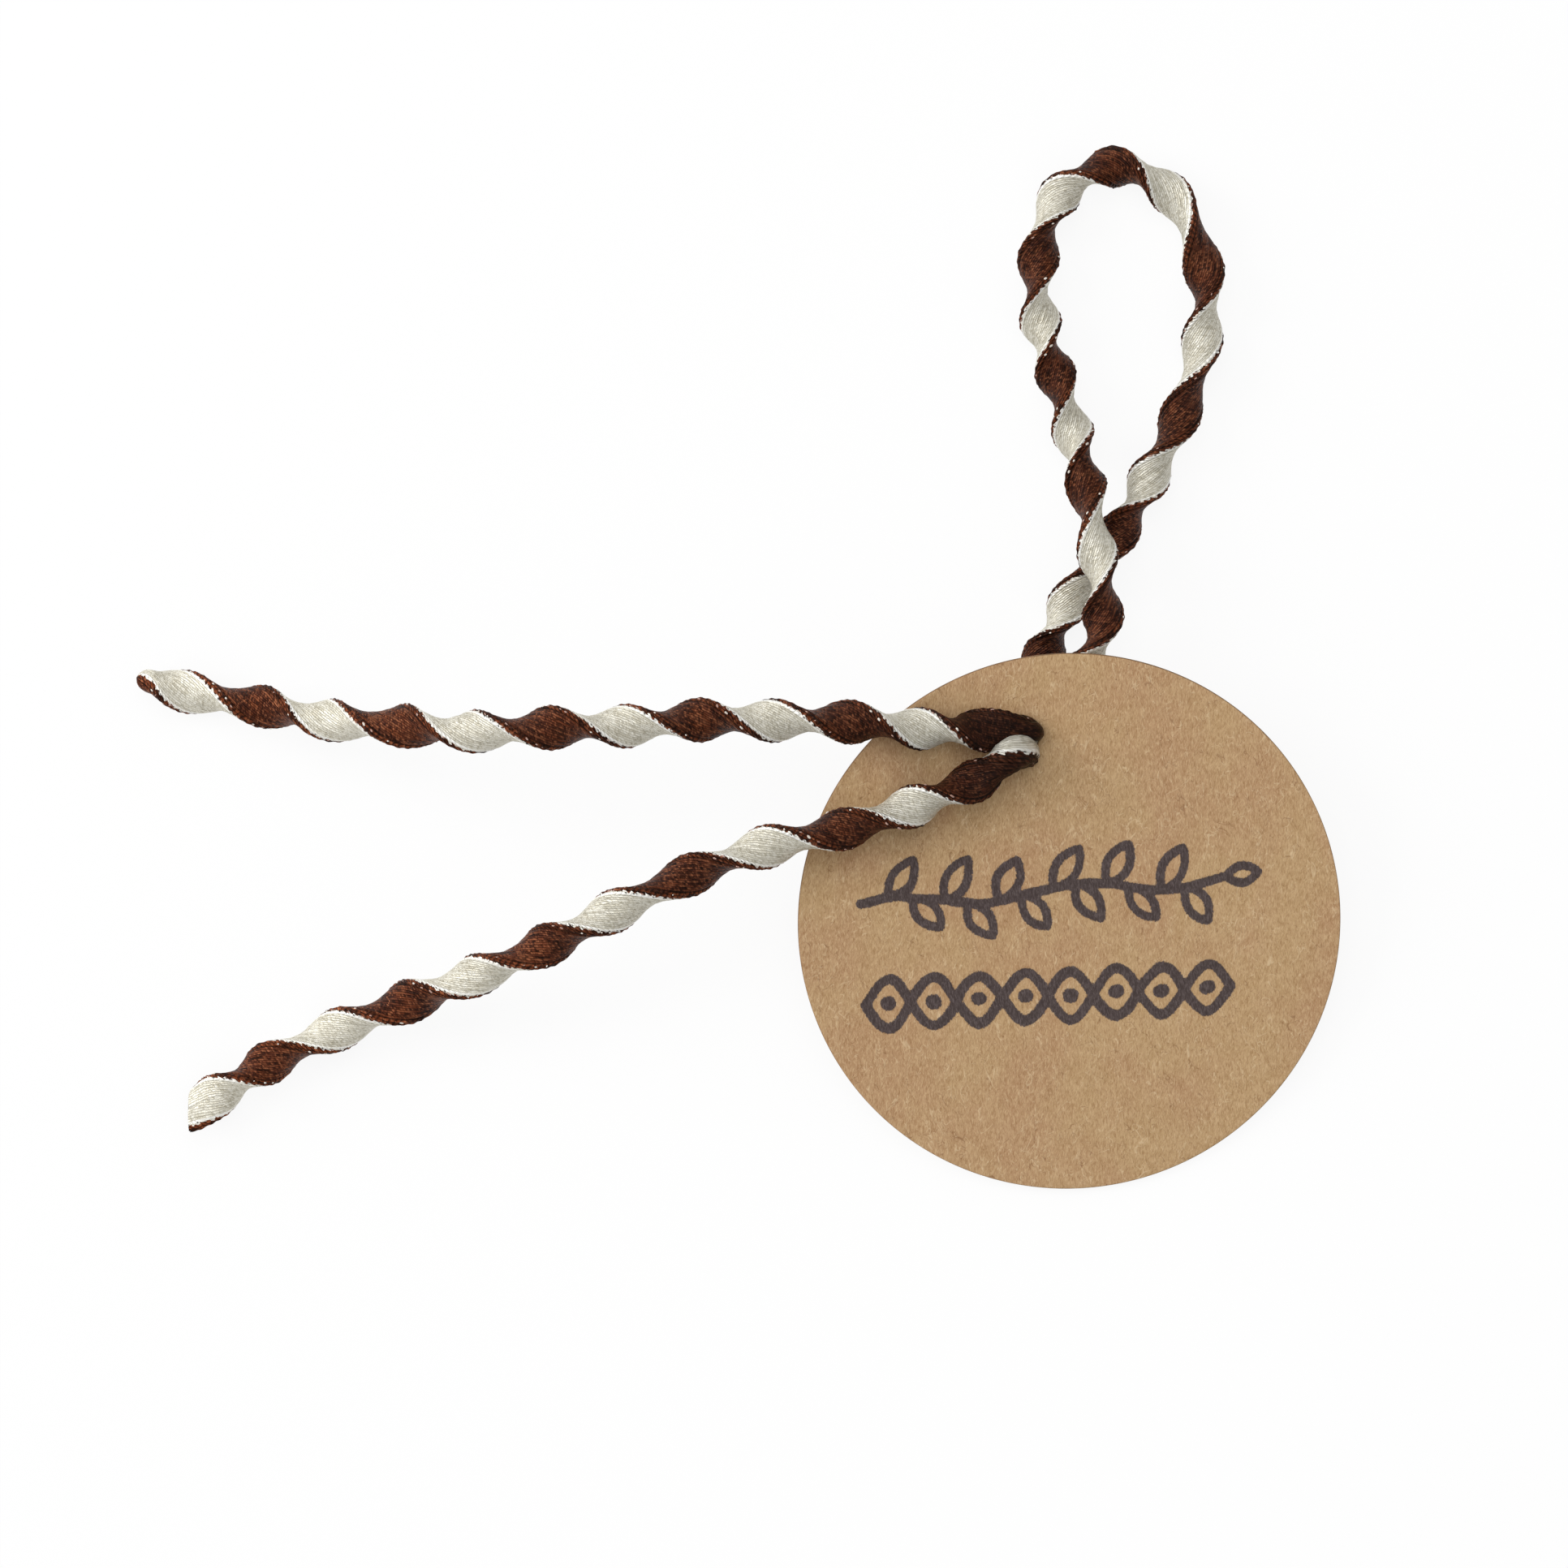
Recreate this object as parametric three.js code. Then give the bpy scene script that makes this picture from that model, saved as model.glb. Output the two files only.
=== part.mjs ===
// A hang tag: a round kraft card with one punched hole, and a doubled ribbon that comes up through the hole.
// Millimetres, +Z up. The tag lies face up on a table at z = 0, and the origin is under the card's centre.
import * as THREE from 'three';

// The card
const cardRadius = 20;
const cardThickness = 0.5;
const holeRadius = 2;
const holeInset = 6; // from the hole's centre to the card's edge

// The ribbon, which is twisted along its length and so fills a round section as wide as itself
const ribbonWidth = 3;

// What touches keeps this much room
const seatGap = 0.3;

// How the tag lies: the ribbon under the hole lifts that side of the card off the table
const cardTilt = THREE.MathUtils.degToRad(10);
const holeBearing = THREE.MathUtils.degToRad(106); // of the hole from the card's centre, turned from +X

// Both strands are pinched side by side in the hole
const ribbonRadius = ribbonWidth / 2;
const pinchedRadius = (2 * (holeRadius - seatGap) - seatGap) / 4;
const strandOffset = pinchedRadius + seatGap / 2;
const bendRadius = ribbonRadius + seatGap; // a strand that turns flat along the card just clears its face

// Bearings of the two strands and of the ways they leave the hole, all from +X of the table
const upperSide = THREE.MathUtils.degToRad(150);
const upperExit = THREE.MathUtils.degToRad(170);
const lowerExit = THREE.MathUtils.degToRad(207);
const rightRiseExit = THREE.MathUtils.degToRad(42);
const upperRun = 1.75; // straight run of each strand after its bend
const lowerRun = 3.9;
const rightRiseRun = 2;

// The routes of the free stretches, with the table at z = 0
const onTable = ribbonRadius;
const upperTailRoute = [
  [-11.03, 14.19, 8.8],
  [-16.22, 14.67, 9.2],
  [-21.78, 14.78, 9.55],
  [-27.16, 14.84, 9.85],
  [-32.59, 14.43, 10.1],
  [-38.09, 14.31, 10.2],
  [-43.52, 14.19, 9.3],
  [-48.78, 14.49, 7.1],
  [-54.22, 14.96, 4.5],
  [-59.29, 15.8, 2.5],
  [-65.03, 16.94, onTable],
  [-68.7, 18.1, onTable],
];
const lowerTailRoute = [
  [-11.51, 8.45, 7.95],
  [-16.58, 6.72, 8.0],
  [-22.32, 5.35, 8.05],
  [-27.81, 3.26, 8.0],
  [-33.37, 0.51, 7.85],
  [-38.33, -1.88, 7.2],
  [-43.58, -3.97, 5.2],
  [-48.6, -5.94, 3.1],
  [-53.86, -8.03, 1.8],
  [-59.06, -10.36, onTable],
  [-62.3, -12.7, onTable],
  [-64.9, -14.1, onTable],
];
const leftRiseEnd = [-3.03, 17.61, onTable];
const leftRiseHeading = THREE.MathUtils.degToRad(65);
const leftRiseEase = 2.4; // how far the left rise keeps its direction at each end of its bend
const loopRoute = [
  [-1.95, 19.74, onTable],
  [-0.33, 23.51, onTable],
  [1.94, 26.2, onTable],
  [4.03, 28.53, onTable],
  [5.94, 32.59, onTable],
  [8.21, 37.31, onTable],
  [9.88, 42.98, onTable],
  [9.88, 48.18, onTable],
  [7.25, 53.49, onTable],
  [3.25, 55.41, onTable],
  [-0.51, 53.37, onTable],
  [-2.19, 48.83, onTable],
  [-2.07, 44.3, onTable],
  [-0.87, 40.4, onTable],
  [0.38, 36.1, 1.9],
  [1.34, 32.23, 3.2],
  [2.0, 27.15, 4.85],
  [2.41, 22.5, 4.9],
  [1.7, 19.74, 4.75],
];

// How finely the solids are divided
const ribbonSides = 8;
const ribbonStep = 2 * ribbonWidth;
const pinchedStep = 0.5;
const bendSteps = 6;
const rimSegments = 96;

const kraft = { color: 0xb4946c, roughness: 0.95, metalness: 0 };
const satin = { color: 0x5a3426, roughness: 0.5, metalness: 0 };

const tag = new THREE.Group();

// The card's own frame: x along the table, y up the slope towards the hole, z out of the card's face
const cardTurn = new THREE.Group();
cardTurn.rotation.z = holeBearing - Math.PI / 2;
cardTurn.position.z = cardRadius * Math.sin(cardTilt) + (cardThickness / 2) * Math.cos(cardTilt);
tag.add(cardTurn);
const cardFrame = new THREE.Group();
cardFrame.rotation.x = cardTilt;
cardTurn.add(cardFrame);

// The hole's frame has the card's directions and its origin in the middle of the hole
const holeFrame = new THREE.Group();
holeFrame.position.y = cardRadius - holeInset;
cardFrame.add(holeFrame);
tag.updateMatrixWorld(true);

// A direction in the card's plane that has this bearing on the table, seen from above
function inCardPlane(bearing) {
  const turned = bearing - cardTurn.rotation.z;
  return new THREE.Vector3(Math.cos(turned), Math.sin(turned), 0);
}

function fromHole(point) {
  return holeFrame.localToWorld(point.clone());
}

// The path of a strand that leaves the hole square to the card and then bends flat along it
function bentPath(side, seam, faceLevel, heading, run) {
  const outward = Math.sign(faceLevel);
  const points = [new THREE.Vector3(side.x, side.y, seam)];
  for (let i = 0; i <= bendSteps; i += 1) {
    const angle = ((Math.PI / 2) * i) / bendSteps;
    const along = bendRadius * (1 - Math.cos(angle));
    const point = side.clone().addScaledVector(heading, along);
    point.z = faceLevel + outward * bendRadius * Math.sin(angle);
    points.push(point);
  }
  const end = points[points.length - 1].clone().addScaledVector(heading, run);
  points.push(end);
  return points;
}

// A closed tube along a path, round in section, that opens from the pinch in the hole to the free ribbon
function pinchedStrand(name, points) {
  const curve = new THREE.CatmullRomCurve3(points, false, 'centripetal');
  const steps = Math.ceil(curve.getLength() / pinchedStep);
  const centres = curve.getSpacedPoints(steps);
  const frames = curve.computeFrenetFrames(steps, false);
  const positions = [];
  for (let i = 0; i <= steps; i += 1) {
    const opened = (i / steps) ** 2;
    const radius = THREE.MathUtils.lerp(pinchedRadius, ribbonRadius, opened);
    for (let j = 0; j < ribbonSides; j += 1) {
      const angle = ((j + 0.5) * 2 * Math.PI) / ribbonSides;
      const point = centres[i].clone();
      point.addScaledVector(frames.normals[i], radius * Math.cos(angle));
      point.addScaledVector(frames.binormals[i], radius * Math.sin(angle));
      positions.push(point.x, point.y, point.z);
    }
  }
  const faces = [];
  for (let i = 0; i < steps; i += 1) {
    for (let j = 0; j < ribbonSides; j += 1) {
      const here = i * ribbonSides + j;
      const beside = i * ribbonSides + ((j + 1) % ribbonSides);
      faces.push(here, beside, beside + ribbonSides);
      faces.push(here, beside + ribbonSides, here + ribbonSides);
    }
  }
  const last = steps * ribbonSides;
  for (let j = 1; j < ribbonSides - 1; j += 1) {
    faces.push(0, j + 1, j);
    faces.push(last, last + j, last + j + 1);
  }
  const geometry = new THREE.BufferGeometry();
  geometry.setAttribute('position', new THREE.Float32BufferAttribute(positions, 3));
  geometry.setIndex(faces);
  geometry.computeVertexNormals();
  return named(name, geometry, satin);
}

// A free stretch of ribbon, a plain tube as wide as the twisted ribbon
function freeRibbon(name, points) {
  const section = new THREE.Shape();
  for (let j = 0; j < ribbonSides; j += 1) {
    const angle = ((j + 0.5) * 2 * Math.PI) / ribbonSides;
    const x = ribbonRadius * Math.cos(angle);
    const y = ribbonRadius * Math.sin(angle);
    if (j === 0) {
      section.moveTo(x, y);
    } else {
      section.lineTo(x, y);
    }
  }
  section.closePath();
  const curve = new THREE.CatmullRomCurve3(points, false, 'centripetal');
  const steps = Math.round(curve.getLength() / ribbonStep);
  const geometry = new THREE.ExtrudeGeometry(section, { extrudePath: curve, steps, bevelEnabled: false });
  return named(name, geometry, satin);
}

function named(name, geometry, material) {
  const mesh = new THREE.Mesh(geometry, new THREE.MeshStandardMaterial(material));
  mesh.name = name;
  return mesh;
}

function routePoint(values) {
  return new THREE.Vector3(...values);
}

// The card: a flat disc with one punched hole
const outline = new THREE.Shape();
outline.absarc(0, 0, cardRadius, 0, 2 * Math.PI, false);
const hole = new THREE.Path();
hole.absarc(0, cardRadius - holeInset, holeRadius, 0, 2 * Math.PI, true);
outline.holes.push(hole);
const cardGeometry = new THREE.ExtrudeGeometry(outline, {
  depth: cardThickness,
  bevelEnabled: false,
  curveSegments: rimSegments,
});
cardGeometry.translate(0, 0, -cardThickness / 2);
cardFrame.add(named('kraft_card', cardGeometry, kraft));

// The two strands that come out of the hole, from its middle, each bending over the card's face
const face = cardThickness / 2;
const upperInHole = inCardPlane(upperSide).multiplyScalar(strandOffset);
const lowerInHole = upperInHole.clone().negate();
const upperHeading = inCardPlane(upperExit);
const lowerHeading = inCardPlane(lowerExit);
const upperNeck = bentPath(upperInHole, seatGap / 2, face, upperHeading, upperRun);
const lowerNeck = bentPath(lowerInHole, seatGap / 2, face, lowerHeading, lowerRun);
holeFrame.add(pinchedStrand('ribbon_neck_upper', upperNeck));
holeFrame.add(pinchedStrand('ribbon_neck_lower', lowerNeck));

// The same two strands under the card: the right one stays against the card, the left one drops to the table
const riseTop = -seatGap / 2;
const rightHeading = inCardPlane(rightRiseExit);
const rightRise = bentPath(lowerInHole, riseTop, -face, rightHeading, rightRiseRun);
holeFrame.add(pinchedStrand('ribbon_rise_right', rightRise));

const leftTop = fromHole(new THREE.Vector3(upperInHole.x, upperInHole.y, riseTop));
const leftBelow = fromHole(new THREE.Vector3(upperInHole.x, upperInHole.y, riseTop - leftRiseEase));
const leftEnd = routePoint(leftRiseEnd);
const leftHeading = new THREE.Vector3(Math.cos(leftRiseHeading), Math.sin(leftRiseHeading), 0);
const leftBefore = leftEnd.clone().addScaledVector(leftHeading, -leftRiseEase);
const leftBend = new THREE.CubicBezierCurve3(leftTop, leftBelow, leftBefore, leftEnd);
tag.add(pinchedStrand('ribbon_rise_left', leftBend.getSpacedPoints(2 * bendSteps)));

// The free stretches start one gap past the strands that they go on from, and run straight on for a little
function goOn(end, heading) {
  const start = end.clone().addScaledVector(heading, seatGap);
  const straight = start.clone().addScaledVector(heading, ribbonRadius / 2);
  return [start, straight];
}
const upperStart = goOn(upperNeck[upperNeck.length - 1], upperHeading).map(fromHole);
const lowerStart = goOn(lowerNeck[lowerNeck.length - 1], lowerHeading).map(fromHole);
const leftStart = goOn(leftEnd, leftHeading);
const rightStart = goOn(rightRise[rightRise.length - 1], rightHeading).map(fromHole);
tag.add(freeRibbon('ribbon_tail_upper', [...upperStart, ...upperTailRoute.map(routePoint)]));
tag.add(freeRibbon('ribbon_tail_lower', [...lowerStart, ...lowerTailRoute.map(routePoint)]));
tag.add(freeRibbon('ribbon_loop', [...leftStart, ...loopRoute.map(routePoint), ...rightStart.reverse()]));

export default tag;
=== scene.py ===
"""Looks of the hang tag: a round kraft card on a doubled, twisted, two-tone satin ribbon. Metres, +Z up."""

import math

import bpy
import numpy as np
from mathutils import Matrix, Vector


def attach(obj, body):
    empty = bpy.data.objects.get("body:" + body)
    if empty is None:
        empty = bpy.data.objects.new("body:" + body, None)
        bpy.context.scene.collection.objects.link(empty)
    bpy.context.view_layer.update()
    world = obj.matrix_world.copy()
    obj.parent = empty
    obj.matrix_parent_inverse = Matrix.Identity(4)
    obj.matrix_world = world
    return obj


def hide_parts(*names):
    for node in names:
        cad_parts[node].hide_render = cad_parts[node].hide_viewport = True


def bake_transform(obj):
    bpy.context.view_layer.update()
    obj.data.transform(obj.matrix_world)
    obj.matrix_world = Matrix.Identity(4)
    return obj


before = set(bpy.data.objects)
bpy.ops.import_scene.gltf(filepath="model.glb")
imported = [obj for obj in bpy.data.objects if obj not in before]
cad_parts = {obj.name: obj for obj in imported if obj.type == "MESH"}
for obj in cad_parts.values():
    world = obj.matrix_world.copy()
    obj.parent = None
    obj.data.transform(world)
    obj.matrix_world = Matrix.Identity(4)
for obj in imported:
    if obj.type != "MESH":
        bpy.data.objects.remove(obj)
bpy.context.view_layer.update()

MM = 0.001

# The card, as in the solids
CARD_RADIUS = 20.0
CARD_THICKNESS = 0.5
HOLE_RADIUS = 2.0
HOLE_INSET = 6.0
CARD_TILT = math.radians(10)
HOLE_BEARING = math.radians(106)
TURN = HOLE_BEARING - math.pi / 2
CARD_LEVEL = CARD_RADIUS * math.sin(CARD_TILT) + CARD_THICKNESS / 2 * math.cos(CARD_TILT)

# The ribbon, in section and along it, and its middle's level where it lies on the table
HALF_WIDTH = 1.56
HALF_THICKNESS = 0.81
RING_STEP = 0.125
STITCH_PITCH = 0.58
THREAD_PITCH = 0.18
ON_TABLE = 1.68

# The camera looks straight down, and the photograph's frame is this wide at the card's level
FRAME_WIDTH = 115.41
FRAME_CENTRE = (-21.0, 10.13)
CAMERA_DISTANCE = 1000.0


def add_object(name, data):
    made = bpy.data.objects.new(name, data)
    bpy.context.scene.collection.objects.link(made)
    return made


def unit(v):
    v = np.asarray(v, float)
    return v / np.linalg.norm(v)


def from_card(x, y, z):
    """A point of the card's own frame, x and y in its plane and z out of its face, on the table's axes."""
    up = y * math.cos(CARD_TILT) - z * math.sin(CARD_TILT)
    rise = y * math.sin(CARD_TILT) + z * math.cos(CARD_TILT)
    c, s = math.cos(TURN), math.sin(TURN)
    return np.array([c * x - s * up, s * x + c * up, CARD_LEVEL + rise])


CARD_NORMAL = from_card(0, 0, 1) - from_card(0, 0, 0)


def by_hole(east, north, level):
    """A point so far east and north of the hole's middle from above, and out of the card's mid-plane."""
    c, s = math.cos(TURN), math.sin(TURN)
    return from_card(c * east + s * north, CARD_RADIUS - HOLE_INSET - s * east + c * north, level)


def card_bearing(degrees):
    """The direction in the card's plane with this bearing, seen from above."""
    a = math.radians(degrees)
    return unit(by_hole(math.cos(a), math.sin(a), 0) - by_hole(0, 0, 0))


# Curves and noise


def centripetal(points):
    """A fine polyline on the centripetal Catmull-Rom curve through points."""
    p = np.asarray(points, float)
    p = np.vstack([2 * p[0] - p[1], p, 2 * p[-1] - p[-2]])
    knots = np.concatenate([[0], np.cumsum(np.linalg.norm(np.diff(p, axis=0), axis=1) ** 0.5)])
    line = []
    for i in range(1, len(p) - 2):
        t0, t1, t2, t3 = knots[i - 1 : i + 3]
        t = np.linspace(t1, t2, 40, endpoint=False)[:, None]
        a1 = (t1 - t) / (t1 - t0) * p[i - 1] + (t - t0) / (t1 - t0) * p[i]
        a2 = (t2 - t) / (t2 - t1) * p[i] + (t - t1) / (t2 - t1) * p[i + 1]
        a3 = (t3 - t) / (t3 - t2) * p[i + 1] + (t - t2) / (t3 - t2) * p[i + 2]
        b1 = (t2 - t) / (t2 - t0) * a1 + (t - t0) / (t2 - t0) * a2
        b2 = (t3 - t) / (t3 - t1) * a2 + (t - t1) / (t3 - t1) * a3
        line.append((t2 - t) / (t2 - t1) * b1 + (t - t1) / (t2 - t1) * b2)
    return np.vstack(line + [p[-2:-1]])


def run_of(line):
    """How far along the line each of its points is."""
    return np.concatenate([[0], np.cumsum(np.linalg.norm(np.diff(line, axis=0), axis=1))])


def evenly(line, step):
    run = run_of(line)
    at = np.linspace(0, run[-1], max(2, round(run[-1] / step)) + 1)
    return np.column_stack([np.interp(at, run, line[:, k]) for k in range(3)])


def monotone(xs, ys, x):
    """The smooth curve through (xs, ys) that never turns back between two of them."""
    xs, ys = np.asarray(xs, float), np.asarray(ys, float)
    h = np.diff(xs)
    d = np.diff(ys) / h
    m = np.concatenate([[d[0]], (d[:-1] + d[1:]) / 2, [d[-1]]])
    for i in range(1, len(m) - 1):
        if d[i - 1] * d[i] <= 0:
            m[i] = 0
        else:
            w1, w2 = 2 * h[i] + h[i - 1], h[i] + 2 * h[i - 1]
            m[i] = (w1 + w2) / (w1 / d[i - 1] + w2 / d[i])
    k = np.clip(np.searchsorted(xs, x) - 1, 0, len(h) - 1)
    t = np.clip((x - xs[k]) / h[k], 0, 1)
    return (
        (1 + 2 * t) * (1 - t) ** 2 * ys[k]
        + t * (1 - t) ** 2 * h[k] * m[k]
        + t * t * (3 - 2 * t) * ys[k + 1]
        + t * t * (t - 1) * h[k] * m[k + 1]
    )


def smoothstep(t):
    t = np.clip(t, 0, 1)
    return t * t * (3 - 2 * t)


def noise_grid(seed, rows, columns):
    return np.random.default_rng(seed).uniform(-1, 1, (rows, columns))


def noise(grid, x, y):
    """Smooth noise from a grid that repeats, at x and y counted in its cells."""
    rows, columns = grid.shape
    i, j = np.floor(x).astype(int), np.floor(y).astype(int)
    u, v = smoothstep(x - i), smoothstep(y - j)
    a = grid[i % rows, j % columns] * (1 - u) + grid[(i + 1) % rows, j % columns] * u
    b = grid[i % rows, (j + 1) % columns] * (1 - u) + grid[(i + 1) % rows, (j + 1) % columns] * u
    return a * (1 - v) + b * v


# The camera


def add_camera():
    data = bpy.data.cameras.new("camera")
    data.sensor_width = 36
    data.lens = data.sensor_width * CAMERA_DISTANCE / FRAME_WIDTH
    data.clip_start, data.clip_end = 0.05, 20
    camera = add_object("camera", data)
    camera.location = Vector((*FRAME_CENTRE, CARD_LEVEL + CAMERA_DISTANCE)) * MM
    bpy.context.scene.camera = camera


add_camera()

# The ribbon's routes on the table's axes, in millimetres, as the solids run
UPPER_TAIL = [
    (-11.03, 14.17, 8.8), (-16.22, 14.67, 9.2), (-21.78, 14.77, 9.55), (-27.16, 14.81, 9.85),
    (-32.59, 14.36, 10.1), (-38.09, 14.24, 10.2), (-43.52, 13.99, 9.3), (-48.78, 14.4, 7.1),
    (-54.22, 14.83, 4.5), (-59.29, 15.83, 2.6), (-65.03, 16.94, ON_TABLE), (-68.75, 18.0, ON_TABLE),
]
LOWER_TAIL = [
    (-11.51, 8.5, 7.95), (-16.6, 6.83, 8.0), (-22.36, 5.5, 8.05), (-27.9, 3.46, 8.0),
    (-33.51, 0.79, 7.85), (-38.42, -1.68, 7.2), (-43.6, -3.91, 5.2), (-48.63, -5.87, 3.2),
    (-53.89, -7.97, 1.9), (-59.02, -10.45, ON_TABLE), (-62.38, -12.56, ON_TABLE), (-64.92, -14.06, ON_TABLE),
]
LOOP_FLAT = [
    (-3.03, 17.61), (-1.8, 19.7), (-0.05, 23.4), (1.9, 26.3), (3.74, 28.74), (5.9, 32.62), (8.24, 37.3),
    (9.86, 42.98), (9.94, 48.19), (7.46, 53.68), (3.25, 55.64), (-0.67, 53.51), (-2.23, 48.83),
    (-2.09, 44.3), (-0.97, 40.36),
]
LOOP_RAISED = [
    (0.31, 36.08, 1.95), (1.24, 32.21, 3.2), (2.05, 27.15, 4.85), (2.45, 22.5, 4.9), (1.7, 19.74, 4.75),
]
LOOP = [(x, y, ON_TABLE) for x, y in LOOP_FLAT] + LOOP_RAISED

# The two strands near the hole, east and north of its middle and out of the card's mid-plane.
# They fill the hole side by side, and the lower one comes out over the edge of the upper one.
UPPER_NECK = [
    (0.22, 1.05, 0), (0.16, 1.06, 0.35), (-0.08, 1.07, 0.76), (-0.5, 1.05, 1.05),
    (-1.15, 1.07, 1.22), (-2.3, 1.06, 1.38), (-4.8, 1.19, 1.95),
]
LOWER_NECK = [
    (0.2, -0.68, 0), (0.19, -0.59, 0.4), (0.1, -0.43, 0.95), (-0.14, -0.38, 1.55), (-0.58, -0.6, 2.0),
    (-1.15, -1.02, 2.15), (-1.8, -1.55, 2.12), (-3.4, -2.65, 1.95), (-5.23, -3.4, 2.0),
]
UPPER_BROWN, LOWER_BROWN = -18, 230  # the bearings of the brown face in the hole

# Below the card the lower strand bends flat against its back, and the upper one drops to the table
RIGHT_RISE_BEARING, LEFT_RISE_BEARING = math.radians(42), math.radians(65)
BEND_START, BEND_DROP, BEND_RUN = -0.3, 1.75, 1.8
BEND_STEPS = 6
RIGHT_RISE_END = (3.1, 2.2, -2.1)
LEFT_RISE_EASE = 2.4  # how far the upper strand keeps its direction at each end of its drop


def by_hole_all(points):
    return [by_hole(*p) for p in points]


def bezier(a, b, c, d, n=12):
    t = np.linspace(0, 1, n + 1)[:, None]
    return list((1 - t) ** 3 * a + 3 * t * (1 - t) ** 2 * b + 3 * t * t * (1 - t) * c + t**3 * d)


def right_rise():
    """The lower strand below the card, down out of the hole and then along the card's back to the loop."""
    east, north, _ = LOWER_NECK[0]
    c, s = math.cos(RIGHT_RISE_BEARING), math.sin(RIGHT_RISE_BEARING)
    points = [(east, north, 0)]
    for i in range(BEND_STEPS + 1):
        a = math.pi / 2 * i / BEND_STEPS
        along = BEND_RUN * (1 - math.cos(a))
        points.append((east + c * along, north + s * along, BEND_START - BEND_DROP * math.sin(a)))
    return by_hole_all(points + [RIGHT_RISE_END])


def left_rise():
    """The upper strand below the card, where it drops to the table."""
    east, north, _ = UPPER_NECK[0]
    end = np.array(LOOP[0])
    heading = np.array([math.cos(LEFT_RISE_BEARING), math.sin(LEFT_RISE_BEARING), 0])
    below = by_hole(east, north, -LEFT_RISE_EASE)
    return bezier(by_hole(east, north, 0), below, end - LEFT_RISE_EASE * heading, end)


upper_route = by_hole_all(UPPER_NECK) + [np.array(p) for p in UPPER_TAIL]
lower_route = by_hole_all(LOWER_NECK) + [np.array(p) for p in LOWER_TAIL]
loop_route = left_rise() + [np.array(p) for p in LOOP[1:]] + right_rise()[::-1]

# Where the ribbon's lenses have their middles, in pixels of the photograph, outward from the hole
PIXELS_PER_MM = 16.74
CARD_PIXEL = (1317.6, 1135.5)
UPPER_LENSES = [
    (1218, 900), (1133, 898), (1046, 890), (953, 888), (863, 887), (772, 894),
    (680, 896), (589, 898), (501, 893), (410, 885), (325, 871), (229, 852),
]
LOWER_LENSES = [
    (1203, 964), (1125, 994), (1040, 1023), (944, 1046), (852, 1081), (759, 1127),
    (676, 1167), (588, 1202), (504, 1235), (416, 1270), (329, 1309), (262, 1358),
]
LOOP_LENSES = [
    (1285, 805), (1312, 742), (1385, 658), (1417, 590), (1455, 511), (1483, 416),
    (1483, 329), (1439, 240), (1372, 208), (1309, 242), (1281, 318), (1283, 394),
    (1303, 459), (1324, 531), (1340, 596), (1351, 681), (1358, 759),
]


def transported(line):
    """Two directions square to the line at each point, which turn no more than it does, and its own."""
    along = np.gradient(line, axis=0)
    along /= np.linalg.norm(along, axis=1)[:, None]
    first = unit(np.cross(along[0], [0.3, 0.5, 0.81]))
    normals = [first]
    for i in range(1, len(line)):
        n = normals[-1]
        v = line[i] - line[i - 1]
        n = n - 2 * (n @ v) / (v @ v) * v
        t = along[i - 1] - 2 * (along[i - 1] @ v) / (v @ v) * v
        w = along[i] - t
        if w @ w > 1e-18:
            n = n - 2 * (n @ w) / (w @ w) * w
        normals.append(unit(n - (n @ along[i]) * along[i]))
    normals = np.array(normals)
    return normals, np.cross(along, normals), along


def place_on(line, run, pixel, after, reach=16):
    """How far along the line it passes a pixel of the photograph, a little past after."""
    x = (pixel[0] - CARD_PIXEL[0]) / PIXELS_PER_MM
    y = (CARD_PIXEL[1] - pixel[1]) / PIXELS_PER_MM
    near = (run > after) & (run < after + reach)
    off = np.where(near, np.hypot(line[:, 0] - x, line[:, 1] - y), 1e9)
    return run[int(np.argmin(off))]


def turn_of(direction, normal, across):
    return math.atan2(direction @ across, direction @ normal)


LENS_SPACING = 5.4
CLOSEST_LENS = 1.5  # no two lenses are nearer than this along the ribbon


def twist(line, lenses, starts, ends, before, tip):
    """The turn of the brown face's normal at each point of a line.

    The twist is right-handed, half a turn from lens to lens, and the first lens shows brown. starts and ends
    are where that face points in the hole. before gives places and half turns between the hole and the first
    lens, and a free end has turned tip half turns past its last lens.
    """
    run = run_of(line)
    normals, acrosses, _ = transported(line)
    places, turns, counted = [], [], []

    def upward(place, halves):
        i = min(int(np.searchsorted(run, place)), len(run) - 1)
        up = turn_of(np.array([0, 0, 1.0]), normals[i], acrosses[i]) + math.pi * halves
        if turns:
            step = halves - counted[-1]
            up += 2 * math.pi * round((turns[-1] + math.pi * step - up) / (2 * math.pi))
        places.append(place)
        turns.append(up)
        counted.append(halves)

    last = 1.0
    for place, halves in before:
        upward(place, halves)
        last = place + 0.5
    for k, pixel in enumerate(lenses):
        place = place_on(line, run, pixel, last)
        last = place + CLOSEST_LENS
        upward(place, k)

    def joined(direction, i, gap, turn, way):
        guess = turn + way * math.pi / LENS_SPACING * gap
        found = turn_of(direction, normals[i], acrosses[i])
        return found + 2 * math.pi * round((guess - found) / (2 * math.pi))

    turns.insert(0, joined(starts, 0, places[0], turns[0], -1))
    places.insert(0, 0.0)
    if ends is None:
        turns.append(turns[-1] + math.pi * tip)
    else:
        turns.append(joined(ends, -1, run[-1] - places[-1], turns[-1], 1))
    places.append(run[-1])
    return monotone(places, turns, run)


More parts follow.
